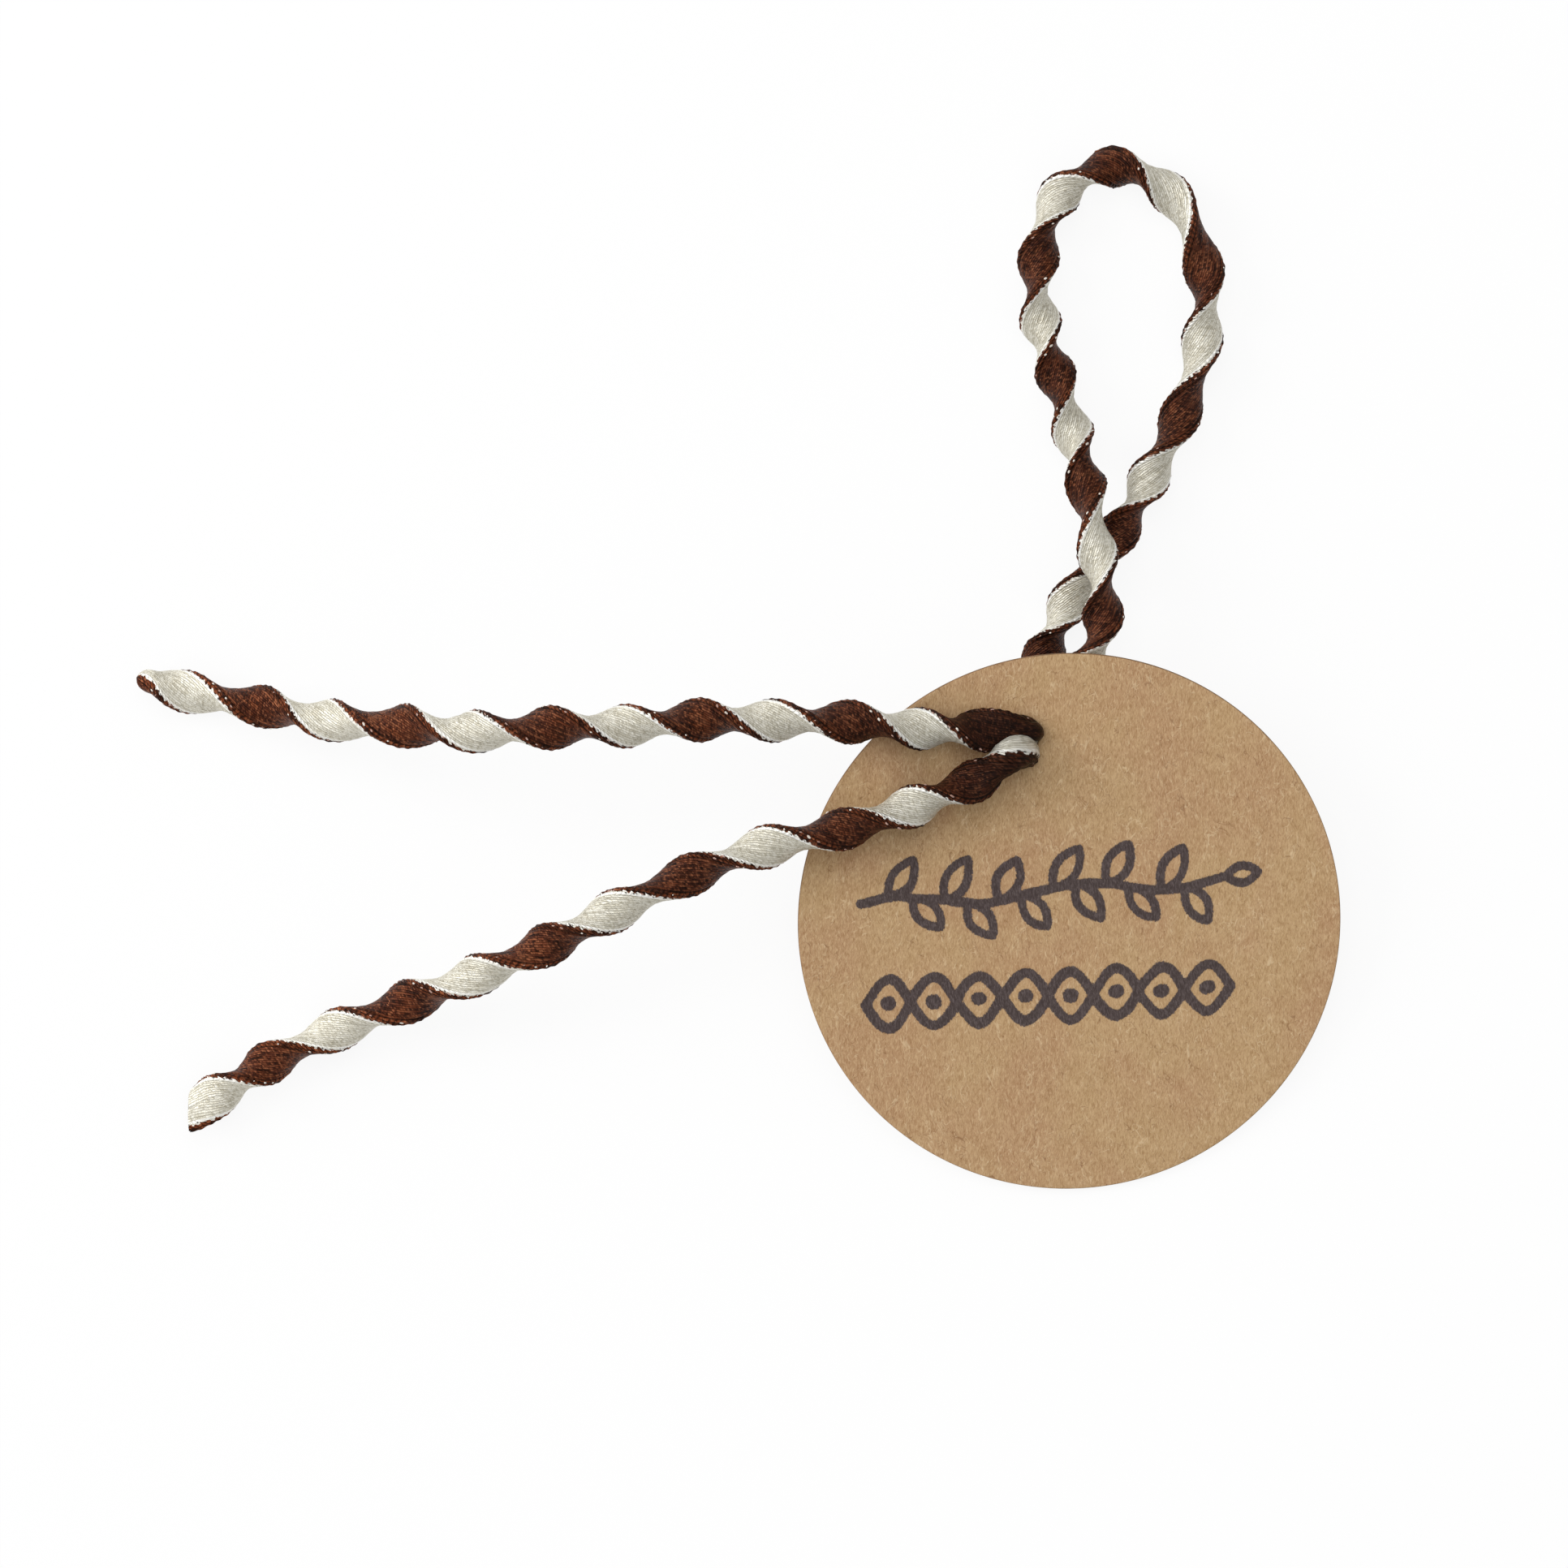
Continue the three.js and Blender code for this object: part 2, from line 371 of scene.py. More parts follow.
# The ribbon's section: distances along its surface from a selvedge, close together on its stitched border
BORDER = 0.64
quarter_angle = np.linspace(0, math.pi / 2, 400)
quarter_run = run_of(
    np.column_stack([HALF_WIDTH * np.cos(quarter_angle), HALF_THICKNESS * np.sin(quarter_angle)])
)
NEAR = np.linspace(0, BORDER, 14, endpoint=False)
FAR = np.linspace(BORDER, quarter_run[-1], 12)


def section_rows():
    """Angles round the section, and distances from the nearest selvedge, positive on the brown face."""
    from_edge = np.concatenate([NEAR, FAR])
    quarter = list(zip(np.interp(from_edge, quarter_run, quarter_angle), from_edge))
    rows = list(quarter)
    rows += [(math.pi - a, d) for a, d in quarter[-2::-1]]
    rows += [(math.pi + a, -d) for a, d in quarter[1:]]
    rows += [(2 * math.pi - a, -d) for a, d in quarter[-2:0:-1]]
    return np.array(rows)


ROWS = section_rows()
ROUND = len(ROWS)


def ridge(d, centre, width):
    return np.exp(-(((d - centre) / width) ** 2))


def ribbon_surface(line, turns, keys, end, seed):
    """The ribbon's skin as a grid of points.

    keys gives its half width and half thickness at some places, and end is round for a pinched tip, the
    bearing of a cut across a flattened end, or None where the ribbon goes back into the hole.
    """
    run = run_of(line)
    normals, acrosses, along = transported(line)
    grid = noise_grid(seed, 64, 64)
    wide = monotone(keys[:, 0], keys[:, 1], run)
    thick = monotone(keys[:, 0], keys[:, 2], run)
    # The ribbon swells and thins a little along its length, but not in the hole
    calm = smoothstep(run / 3)
    if end is None:
        calm = np.minimum(calm, smoothstep((run[-1] - run) / 3))
    wide = wide * (1 + calm * 0.03 * (noise(grid, run / 4.1, run * 0 + 3.3) - 0.5))
    thick = thick * (1 + calm * 0.10 * noise(grid, run / 3.3, run * 0 + 9.7))
    to_end = run[-1] - run
    if end == "round":
        tip = np.sqrt(np.clip(1 - (1 - np.clip(to_end / 1.1, 0, 1)) ** 2, 0.004, 1))
        wide, thick = wide * (0.35 + 0.65 * smoothstep(to_end / 2.2)) * tip, thick * tip
    elif end is not None:
        flat = smoothstep(to_end / 3.4)
        wide, thick = wide * (1 + 0.03 * (1 - flat)), thick * (0.42 + 0.58 * flat)
    brown = np.cos(turns)[:, None] * normals + np.sin(turns)[:, None] * acrosses
    side = np.cross(brown, along)
    around, from_edge = ROWS[:, 0], ROWS[:, 1]
    d = np.abs(from_edge)[None, :]
    is_brown = (from_edge >= 0)[None, :]
    c, s = np.cos(around)[None, :], np.sin(around)[None, :]
    u, v = wide[:, None] * c, thick[:, None] * s
    # One brown cord runs round the selvedge and one beside it, and a pale one on the cream face.
    # The stitches draw them in.
    wander = noise(grid, run / 0.9 + 5, run * 0 + 21.5)[:, None]
    stitch = 0.5 + 0.5 * np.cos(2 * math.pi * run[:, None] / STITCH_PITCH + 2.2 * wander)
    stitch_far = 0.5 + 0.5 * np.cos(2 * math.pi * run[:, None] / STITCH_PITCH + 2.5 + 2.2 * wander)
    on_brown = 0.075 * ridge(d, 0.27, 0.09) * (0.4 + 0.6 * stitch_far) - 0.07 * ridge(d, 0.48, 0.09)
    on_cream = 0.03 * ridge(d, 0.36, 0.12) * (0.55 + 0.45 * stitch) - 0.04 * ridge(d, 0.2, 0.05) * stitch
    on_edge = 0.10 * ridge(d, 0, 0.10) * (0.25 + 0.75 * stitch) - 0.03 * ridge(d, 0.14, 0.04)
    lift = np.where(is_brown, on_brown, on_cream) + on_edge
    # Soft pleats run lengthwise over the faces
    edge_free = smoothstep((d - 0.5) / 0.3)
    signed = np.where(from_edge > 0, 1, -1) * np.where(np.cos(around) > 0, 1, 3) * 7.7
    pleat = noise(grid, run[:, None] / 2.2 + signed[None, :], d * 2.6 + signed[None, :])
    pleat += 0.6 * noise(grid, run[:, None] / 0.8 + 11 + signed[None, :], d * 6 + signed[None, :])
    lift = lift + 0.032 * pleat * edge_free
    lift = lift * np.clip(to_end[:, None] / 0.5, 0.15, 1) if end is not None else lift
    nu, nv = c / wide[:, None], s / thick[:, None]
    size = np.hypot(nu, nv)
    u, v = u + lift * nu / size, v + lift * nv / size
    points = line[:, None, :] + u[..., None] * side[:, None, :] + v[..., None] * brown[:, None, :]
    if end is not None and end != "round":
        # The last few millimetres lean so that the end lies in one upright plane
        cut = math.radians(end)
        facing = np.array([math.sin(cut), -math.cos(cut), 0])
        t = along[-1]
        short = ((points[-1] - line[-1]) @ facing) / (t @ facing)
        ragged = 0.05 * noise(grid, np.arange(ROUND) * 0.9, np.zeros(ROUND) + 40)
        rounded = 0.45 * np.abs(c[0]) ** 7
        short = short + ragged + rounded
        points = points - smoothstep(1 - to_end / 3.0)[:, None, None] * short[None, :, None] * t
    return run, squeezed(points)


def bearing_of(flat):
    return np.degrees(np.arctan2(flat[..., 1], flat[..., 0]))


def pressed(flat):
    """How far the ribbon has pressed the hole's rim in at these places, which is only on its east side."""
    return 0.6 * ridge(bearing_of(flat), -10, 27)


def from_hole(points):
    """How far points are out of the card's mid-plane, and their places in it from the hole's middle."""
    away = points - by_hole(0, 0, 0)
    level = away @ CARD_NORMAL
    flat = away - level[..., None] * CARD_NORMAL
    return level, flat, np.linalg.norm(flat, axis=-1)


FLARE_START = 0.27  # the strands spread again this far out of the card's mid-plane
FLARE = 2.0
NEAR_HOLE_LEVEL, NEAR_HOLE_REACH = 0.9, 3.2


def squeezed(points):
    """The same points, drawn in where they would leave the hole through its wall."""
    level, flat, reach = from_hole(points)
    most = HOLE_RADIUS - pressed(flat) + FLARE * np.maximum(0, np.abs(level) - FLARE_START)
    near = (np.abs(level) < NEAR_HOLE_LEVEL) & (reach < NEAR_HOLE_REACH) & (reach > most)
    inward = np.where(near, most / np.maximum(reach, 1e-6), 1.0)
    return points + (inward - 1)[..., None] * flat


def capsule(rings=5, sides=7):
    """A small rounded bead, its long way along x: points on a unit ball and faces."""
    points, faces = [(-1.0, 0.0, 0.0)], []
    for i in range(1, rings):
        a = math.pi * i / rings
        for j in range(sides):
            b = 2 * math.pi * j / sides
            points.append((-math.cos(a), math.sin(a) * math.cos(b), math.sin(a) * math.sin(b)))
    points.append((1.0, 0.0, 0.0))
    last = len(points) - 1
    for j in range(sides):
        k = (j + 1) % sides
        faces.append((0, 1 + k, 1 + j))
        faces.append((last, last - sides + j, last - sides + k))
        for i in range(rings - 2):
            a = 1 + i * sides
            faces.append((a + j, a + k, a + sides + k, a + sides + j))
    return np.array(points), faces


BEAD_POINTS, BEAD_FACES = capsule()
SATIN, PALE, DULL = range(3)  # the ribbon's material slots


def stitches(run, points, seed):
    """Short thread loops over the brown border of both selvedges, some of them pale and some duller."""
    rng = np.random.default_rng(seed)
    grid = noise_grid(seed + 1, 64, 64)
    found = []
    for edge in (0, ROUND // 2):
        for k in range(1, int(run[-1] / STITCH_PITCH) - 1):
            chance, jitter, lean = rng.uniform(), rng.normal(), rng.normal()
            grown, across = rng.uniform(), rng.uniform()
            # Where they crowd, fewer are missing and more are pale
            crowd = 0.5 + 0.5 * float(noise(grid, np.array([k * 0.31]), np.array([edge * 0.37])))
            if chance > 0.7 + 0.3 * crowd:
                continue
            pale = chance < 0.2 + 0.45 * crowd
            i = int(np.clip(round((k + 0.12 * jitter) * STITCH_PITCH / RING_STEP), 1, len(run) - 2))
            inward = 0.08 + 0.22 * across if across > 0.5 else -0.24 + 0.24 * across
            step = int(round(inward / (NEAR[1] - NEAR[0])))
            j = (edge + step * (1 if edge == 0 else -1)) % ROUND
            ahead = unit(points[i + 1, j] - points[i - 1, j])
            round_it = unit(points[i, (j + 1) % ROUND] - points[i, j - 1])
            out = unit(np.cross(round_it, ahead))
            turned = 0.45 * lean
            way = math.cos(turned) * ahead + math.sin(turned) * round_it
            length = (0.08 + 0.08 * grown**2) if pale else (0.10 + 0.06 * grown)
            width = (0.055 + 0.03 * grown) if pale else (0.05 + 0.025 * grown)
            centre, aside = points[i, j] + 0.01 * out, np.cross(out, way)
            found.append((centre, way, aside, out, length, width, PALE if pale else DULL))
    return found


def set_attributes(mesh, **all_values):
    for label, values in all_values.items():
        layer = mesh.attributes.new(label, "FLOAT", "POINT")
        layer.data.foreach_set("value", np.array(values, np.float32))


def placed(length, from_start, to_end):
    """Values at places counted from the start or back from the end, all counted from the start."""
    return np.array(from_start + [(length - s, *values) for s, *values in to_end])


def make_ribbon(name, route, lenses, shape, dull, starts, seed, ends=None, before=(), tip=0.0, end=None):
    """A length of ribbon with its stitches, and its centre line.

    shape gives its half widths and half thicknesses, and the keys after it how far painted shade darkens it,
    from 0 for none to 1.
    Each has a list for places from the start and one for places back from the end.
    """
    line = evenly(centripetal(route), RING_STEP)
    turns = twist(line, lenses, starts, ends, before, tip)
    run, points = ribbon_surface(line, turns, placed(run_of(line)[-1], *shape), end, seed)
    rings = len(run)
    i, j = np.meshgrid(np.arange(rings - 1), np.arange(ROUND), indexing="ij")
    k = (j + 1) % ROUND
    here, ahead = i * ROUND, (i + 1) * ROUND
    skin = np.stack([here + j, ahead + j, ahead + k, here + k], -1).reshape(-1, 4)
    faces = [tuple(f) for f in skin.tolist()]
    faces.append(tuple(range(ROUND)))
    faces.append(tuple((rings - 1) * ROUND + j for j in range(ROUND - 1, -1, -1)))
    slots = [SATIN] * len(faces)
    vertices = points.reshape(-1, 3)
    across = np.tile(ROWS[:, 1], rings)
    lengthwise = np.repeat(run, ROUND)
    # Painted shade along the ribbon, a share for each ring
    keys = placed(run[-1], *dull)
    dulled = np.repeat(np.interp(run, keys[:, 0], keys[:, 1]), ROUND)
    if end is not None and end != "round":
        # The lower corner of the cut end is coloured brown, as if it curled up to show its brown side; its
        # shape is not curled
        lower_half = 1 if points[-1, 0, 1] < points[-1, ROUND // 2, 1] else -1
        corner = (ROWS[:, 1] < 0) & (np.cos(ROWS[:, 0]) * lower_half > 0)
        curl = smoothstep(1 - (run[-1] - run) / 2.6)[:, None] * corner
        across = across + 0.5 * curl.ravel()
    beads = []
    for centre, way, aside, out, length, width, slot in stitches(run, points, seed + 5):
        base = len(vertices) + len(beads) * len(BEAD_POINTS)
        along, beside, above = BEAD_POINTS.T
        bead = np.column_stack([along * length, beside * width, above * width * 0.6])
        beads.append(centre + bead @ np.array([way, aside, out]))
        faces += [tuple(base + q for q in f) for f in BEAD_FACES]
        slots += [slot] * len(BEAD_FACES)
    extra = sum(len(b) for b in beads)
    vertices = np.vstack([vertices, *beads])
    across = np.concatenate([across, np.full(extra, 0.2)])
    lengthwise = np.concatenate([lengthwise, np.zeros(extra)])
    dulled = np.concatenate([dulled, np.zeros(extra)])
    mesh = bpy.data.meshes.new(name)
    mesh.from_pydata((vertices * MM).tolist(), [], faces)
    set_attributes(mesh, across=across, lengthwise=lengthwise, dulled=dulled)
    for material in ribbon_materials:
        mesh.materials.append(material)
    mesh.polygons.foreach_set("material_index", slots)
    mesh.polygons.foreach_set("use_smooth", [True] * len(faces))
    mesh.update()
    return add_object(name, mesh), line


# Materials


class Nodes:
    """A material's nodes, written as sums."""

    def __init__(self, name):
        self.material = bpy.data.materials.new(name)
        self.material.use_nodes = True
        self.tree = self.material.node_tree
        self.shader = self.tree.nodes["Principled BSDF"]

    def new(self, kind, **values):
        node = self.tree.nodes.new(kind)
        for key, value in values.items():
            setattr(node, key, value)
        return node

    def link(self, source, socket):
        if isinstance(source, bpy.types.NodeSocket):
            self.tree.links.new(source, socket)
        else:
            socket.default_value = source

    def fed(self, node, *values):
        for value, socket in zip(values, node.inputs):
            self.link(value, socket)
        return node.outputs[0]

    def math(self, operation, *values):
        return self.fed(self.new("ShaderNodeMath", operation=operation), *values)

    def times(self, a, b):
        return self.math("MULTIPLY", a, b)

    def plus(self, a, b):
        return self.math("ADD", a, b)

    def minus(self, a, b):
        return self.math("SUBTRACT", a, b)

    def at(self, x, y, z=0.0):
        return self.fed(self.new("ShaderNodeCombineXYZ"), x, y, z)

    def shifted(self, where, by):
        return self.fed(self.new("ShaderNodeVectorMath", operation="ADD"), where, by)

    def scaled(self, source, start, full):
        """0 up to start and 1 from full on, with a smooth rise between them."""
        node = self.new("ShaderNodeMapRange", interpolation_type="SMOOTHSTEP")
        return self.fed(node, source, start, full, 0.0, 1.0)

    def mix(self, share, a, b):
        node = self.new("ShaderNodeMix", data_type="RGBA")
        self.link(share, node.inputs["Factor"])
        self.link(a, node.inputs[6])
        self.link(b, node.inputs[7])
        return node.outputs[2]

    def layered(self, colour, *layers):
        """The colour under layers. Each has a field, where in it the layer starts and is full, its share and
        its own colour."""
        for field, start, full, share, over in layers:
            colour = self.mix(self.times(self.scaled(field, start, full), share), colour, over)
        return colour

    def place(self, scale, turn=0.0):
        coordinates = self.new("ShaderNodeTexCoord")
        mapping = self.new("ShaderNodeMapping", vector_type="TEXTURE")
        mapping.inputs["Rotation"].default_value = (0, 0, turn)
        mapping.inputs["Scale"].default_value = [MM * s for s in scale]
        self.link(coordinates.outputs["Object"], mapping.inputs["Vector"])
        return mapping.outputs["Vector"]

    def noise(self, where, detail, rough=0.5, distortion=0.0, scale=1.0):
        node = self.new("ShaderNodeTexNoise")
        self.link(where, node.inputs["Vector"])
        node.inputs["Scale"].default_value = scale
        node.inputs["Detail"].default_value = detail
        node.inputs["Roughness"].default_value = rough
        node.inputs["Distortion"].default_value = distortion
        return node.outputs["Fac"]

    def attribute(self, name):
        return self.new("ShaderNodeAttribute", attribute_name=name).outputs["Fac"]

    def bump(self, height, distance, strength=1.0, normal=None):
        node = self.new("ShaderNodeBump")
        node.inputs["Strength"].default_value = strength
        node.inputs["Distance"].default_value = distance * MM
        self.link(height, node.inputs["Height"])
        if normal is not None:
            self.link(normal, node.inputs["Normal"])
        return node.outputs["Normal"]

    def finished(self, colour, normal, roughness, specular, metallic=0.0):
        """The material, with its surface set."""
        for value, name in (
            (colour, "Base Color"), (normal, "Normal"), (roughness, "Roughness"),
            (specular, "Specular IOR Level"), (metallic, "Metallic"),
        ):
            if value is not None:
                self.link(value, self.shader.inputs[name])
        return self.material


def linear(red, green, blue):
    """A colour given in sRGB, 0 to 255, as the shader takes it."""
    out = []
    for value in (red, green, blue):
        c = value / 255
        out.append(c / 12.92 if c <= 0.04045 else ((c + 0.055) / 1.055) ** 2.4)
    return (*out, 1.0)


# The last colour of the second row and of the fourth is painted shade, for where the ribbon is darkened
BROWN_DEEP, BROWN_DARK, BROWN_MID = linear(24, 9, 5), linear(69, 32, 20), linear(97, 51, 33)
BROWN_WARM, BROWN_LIGHT, BROWN_IN_SHADE = linear(124, 64, 36), linear(170, 106, 72), linear(16, 8, 5)
CREAM_DEEP, CREAM_DARK, CREAM_MID = linear(166, 158, 137), linear(210, 205, 188), linear(228, 223, 206)
CREAM_LIGHT, CREAM_BRIGHT, CREAM_IN_SHADE = linear(248, 245, 233), linear(254, 253, 248), linear(84, 80, 72)
# The painted shade in the pits of the cream border
PIT_SHADE = linear(60, 55, 57)
KRAFT_RED, KRAFT_YELLOW, KRAFT_PALE = linear(175, 138, 102), linear(181, 149, 108), linear(202, 171, 132)
KRAFT_DARK, KRAFT_DEEP, KRAFT_HAIR = linear(146, 109, 72), linear(112, 72, 44), linear(220, 195, 158)
CUT_DARK, CUT_LIGHT = linear(92, 66, 44), linear(140, 107, 76)
INK_DARK, INK_PALE = linear(58, 50, 52), linear(92, 82, 84)
THREAD_PALE = (linear(196, 182, 168), linear(240, 235, 226))
THREAD_DULL = (linear(140, 100, 86), linear(202, 172, 160))


def satin_material():
    """Brown on one face and cream on the other, by the attributes across and lengthwise, in millimetres."""
    n = Nodes("two_tone_satin")
    across = n.attribute("across")
    lengthwise = n.attribute("lengthwise")
    from_edge = n.math("ABSOLUTE", across)

    def field(ahead, side, aside, z=0.0, detail=2.0):
        """Noise with ahead cells in a millimetre of length, and aside cells in one of side."""
        return n.noise(n.at(n.times(lengthwise, ahead), n.times(side, aside), z), detail)

    def spots(pitch, shift, distance, radius, share):
        """Round spots at a distance from the selvedge, in a share of the places one pitch apart."""
        node = n.new("ShaderNodeTexVoronoi", voronoi_dimensions="1D", feature="F1")
        n.link(n.math("MULTIPLY_ADD", lengthwise, 1 / pitch, shift), node.inputs["W"])
        node.inputs["Scale"].default_value = 1.0
        node.inputs["Randomness"].default_value = 0.5
        off = n.minus(from_edge, distance)
        ahead = n.times(node.outputs["Distance"], pitch)
        away = n.math("SQRT", n.plus(n.math("POWER", ahead, 2.0), n.math("POWER", off, 2.0)))
        chosen = n.new("ShaderNodeSeparateColor")
        n.link(node.outputs["Color"], chosen.inputs[0])
        present = n.math("LESS_THAN", chosen.outputs[0], share)
        return n.times(n.scaled(away, radius, radius * 0.45), present)

    # Warp threads run lengthwise, and each has its own tone and crinkles. Painted shade darkens the grooves
    # between them.
    sway = n.minus(field(0.9, across, 1.4), 0.5)
    frizz = n.minus(field(1 / 0.3, across, 1 / 0.25, 2.0, 1.0), 0.5)
    moved = n.plus(n.times(sway, 0.16), n.times(frizz, 0.14))
    thread = n.times(n.plus(across, moved), 1 / THREAD_PITCH)
    index = n.math("FLOOR", thread)
    crown = n.math("SINE", n.times(n.math("FRACT", thread), math.pi))
    tone = field(1 / 1.6, index, 3.71)
    crinkle = field(1 / 0.19, index, 5.33, 7.0, 1.0)
    broad = field(0.45, across, 1.1, 3.0)
    groove_shade = n.math("POWER", n.minus(1.0, crown), 1.4)

    # The brown wraps round the selvedge in small loops
    wave = n.math("SINE", n.times(lengthwise, 2 * math.pi / (0.75 * STITCH_PITCH)))
    wander = n.minus(field(4.4, across, 2.0, 11.0), 0.5)
    seam = n.plus(across, n.plus(n.times(wave, 0.06), n.times(wander, 0.6)))
    brown_side = n.scaled(seam, -0.25, -0.20)

    coarse = field(1 / 1.3, index, 4.37, 5.0)
    lumps = field(1 / 1.7, across, 1 / 0.24, 9.0, 1.0)
    brown = n.layered(
        n.mix(n.scaled(tone, 0.38, 0.6), BROWN_DARK, BROWN_MID),
        (broad, 0.42, 0.66, 0.65, BROWN_WARM),
        (lumps, 0.5, 0.7, 0.5, BROWN_WARM),
        (lumps, 0.5, 0.3, 0.6, BROWN_DARK),
        (coarse, 0.52, 0.68, 0.4, BROWN_LIGHT),
        (coarse, 0.49, 0.35, 0.62, BROWN_DEEP),
        (crinkle, 0.52, 0.68, 0.6, BROWN_LIGHT),
        (crinkle, 0.48, 0.34, 0.68, BROWN_DEEP),
    )
    # Painted shade in the grooves between the threads
    brown = n.mix(n.times(groove_shade, 0.55), brown, BROWN_DEEP)
    # Two twisted cords run along the brown face's border. Their twist shows as painted highlights on the
    # crowns and painted shade between them, and painted shade darkens the furrows beside them.
    lean = n.plus(lengthwise, n.times(across, 0.8))
    strand = n.math("SINE", n.times(n.plus(lean, n.times(wander, 0.3)), 2 * math.pi / 0.33))
    cords = n.mix(n.math("MULTIPLY_ADD", n.scaled(strand, -0.9, 0.5), 0.75, 0.25), BROWN_DEEP, BROWN_WARM)
    cords = n.layered(
        cords,
        (crinkle, 0.54, 0.64, 0.6, BROWN_LIGHT),
        (coarse, 0.52, 0.42, 0.8, BROWN_DEEP),
    )

    def furrow(place, width):
        return n.scaled(n.math("ABSOLUTE", n.minus(across, place)), width, 0.0)

    # Painted shade in the furrows
    furrow_shade = n.math("MAXIMUM", n.times(furrow(0.14, 0.07), 0.8), furrow(0.47, 0.12))
    cords = n.mix(n.times(furrow_shade, 0.9), cords, BROWN_DEEP)
    brown = n.mix(n.scaled(from_edge, 0.56, 0.47), brown, cords)

    cream = n.layered(
        n.mix(n.scaled(tone, 0.32, 0.66), CREAM_DARK, CREAM_MID),
        (lumps, 0.5, 0.68, 0.5, CREAM_LIGHT),
        (coarse, 0.5, 0.65, 0.45, CREAM_LIGHT),
        (coarse, 0.48, 0.34, 0.35, CREAM_DEEP),
        (crinkle, 0.5, 0.66, 0.55, CREAM_LIGHT),
        (crinkle, 0.48, 0.32, 0.5, CREAM_DEEP),
    )
    # Painted shade in the grooves between the threads
    cream = n.mix(n.times(groove_shade, 0.3), cream, CREAM_DEEP)
    # The cream face's border is one smooth pale cord, with painted shade in a furrow along it and in small
    # pits where the stitches pull
    border = n.mix(n.scaled(tone, 0.35, 0.6), CREAM_LIGHT, CREAM_BRIGHT)
    border = n.mix(n.times(furrow(-0.27, 0.09), 0.45), border, CREAM_DEEP)
    cream = n.mix(n.scaled(from_edge, 0.56, 0.46), cream, border)
    first = spots(STITCH_PITCH, 0.0, 0.32, 0.08, 0.55)
    second = spots(STITCH_PITCH, 0.31, 0.27, 0.065, 0.5)
    shaded_pits = n.math("MAXIMUM", first, second)
    cream = n.mix(n.times(shaded_pits, 0.85), cream, PIT_SHADE)

    # Painted shade: both faces are darkened toward deep colours by the attribute read here, most in and near
    # the hole
    dulled = n.attribute("dulled")
    brown = n.mix(n.times(dulled, 0.8), brown, BROWN_IN_SHADE)
    cream = n.mix(n.times(dulled, 0.36), cream, CREAM_IN_SHADE)
    relief = n.plus(n.plus(crown, n.times(crinkle, 1.3)), n.times(coarse, 2.4))
    on_border = n.math("MULTIPLY_ADD", strand, 0.6, 1.4)
    relief = n.times(relief, n.scaled(from_edge, 0.45, 0.6))
    relief = n.plus(relief, n.times(on_border, n.scaled(from_edge, 0.6, 0.45)))
    cream_side = n.minus(1.0, brown_side)
    relief = n.minus(relief, n.times(cream_side, n.times(shaded_pits, 1.2)))
    normal = n.bump(relief, 0.035)
    return n.finished(n.mix(brown_side, cream, brown), normal, roughness=0.42, specular=0.1, metallic=0.35)


def thread_material(name, dark, light):
    n = Nodes(name)
    grain = n.noise(n.place((0.07, 0.07, 0.07)), 2.0)
    colour = n.mix(n.scaled(grain, 0.35, 0.65), dark, light)
    return n.finished(colour, n.bump(grain, 0.03, 0.6), roughness=0.5, specular=0.25)


